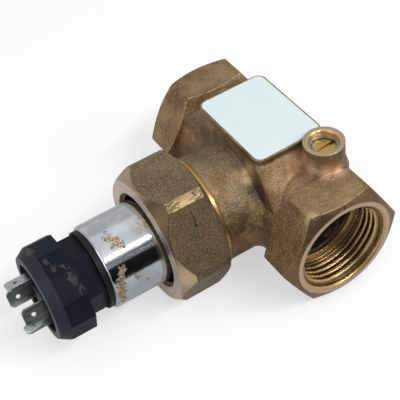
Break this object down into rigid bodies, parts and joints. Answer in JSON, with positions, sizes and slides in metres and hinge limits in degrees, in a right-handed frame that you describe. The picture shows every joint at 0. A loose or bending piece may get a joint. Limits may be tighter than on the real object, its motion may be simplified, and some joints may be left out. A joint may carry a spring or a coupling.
{
  "type": "flow switch",
  "caption": "Pipe flow switch: bronze body with two hexagon threaded ports, side branch with union nut, plated sensor tube and a tab plug header.",
  "frame": {"origin": "centre of the inlet port's face, on the flow axis", "axes": "+X with the flow, out of the outlet port; -Y out along the sensor branch; +Z out of the plate pad and the bypass boss"},
  "size_m": [0.0908, 0.125, 0.0521],
  "materials": {
    "cast_bronze": "cast and bead blasted, tarnished, with machined faces",
    "pressed_bronze": "hot pressed, fine grain",
    "nickel_plate": "polished, worn through in patches",
    "turned_brass": "turned",
    "white_plate": "semi-gloss white",
    "header_plastic": "dark moulded plastic",
    "tinned_tab": "tin plated",
    "spring_steel": "drawn",
    "rubber": "matte",
    "piston_plastic": "acetal",
    "magnet_metal": "sintered",
    "copper_wire": "bare",
    "capsule_glass": "clear green",
    "potting_resin": "cast resin"
  },
  "bodies": {
    "root": {"valve_body": "cast_bronze", "label_plate": "white_plate", "union_nut": "pressed_bronze", "flange_gasket": "rubber", "sensor_housing": "nickel_plate", "stem_clip": "spring_steel", "return_spring": "spring_steel", "bypass_circlip": "spring_steel", "plug_gasket": "rubber", "hex_collar": "header_plastic", "header_flange": "header_plastic", "header_rivets": "turned_brass", "centre_insert": "turned_brass", "contact_blade_1": "tinned_tab", "contact_blade_2": "tinned_tab", "contact_blade_3": "tinned_tab", "earth_blade": "tinned_tab", "reed_switch": "capsule_glass", "reed_lead_back": "copper_wire", "reed_lead_front": "copper_wire", "earth_lead": "copper_wire", "potting": "potting_resin"},
    "shuttle": {"shuttle_piston": "piston_plastic", "shuttle_seal": "rubber", "ring_magnet": "magnet_metal", "magnet_retainer": "piston_plastic"},
    "bypass": {"bypass_plug": "turned_brass", "bypass_o_ring": "rubber"}
  },
  "joints": [
    {"name": "shuttle_lift", "type": "slide", "parent": "root", "child": "shuttle", "axis": [0, -1, 0], "range_m": [0, 0.012], "stiffness_N_per_m": 60, "springref_m": -0.006, "deforming": ["return_spring"]},
    {"name": "bypass_turn", "type": "hinge", "parent": "root", "child": "bypass", "pos_m": [0.0691, 0.00815, 0.02], "axis": [0, 0, 1], "continuous": true}
  ]
}
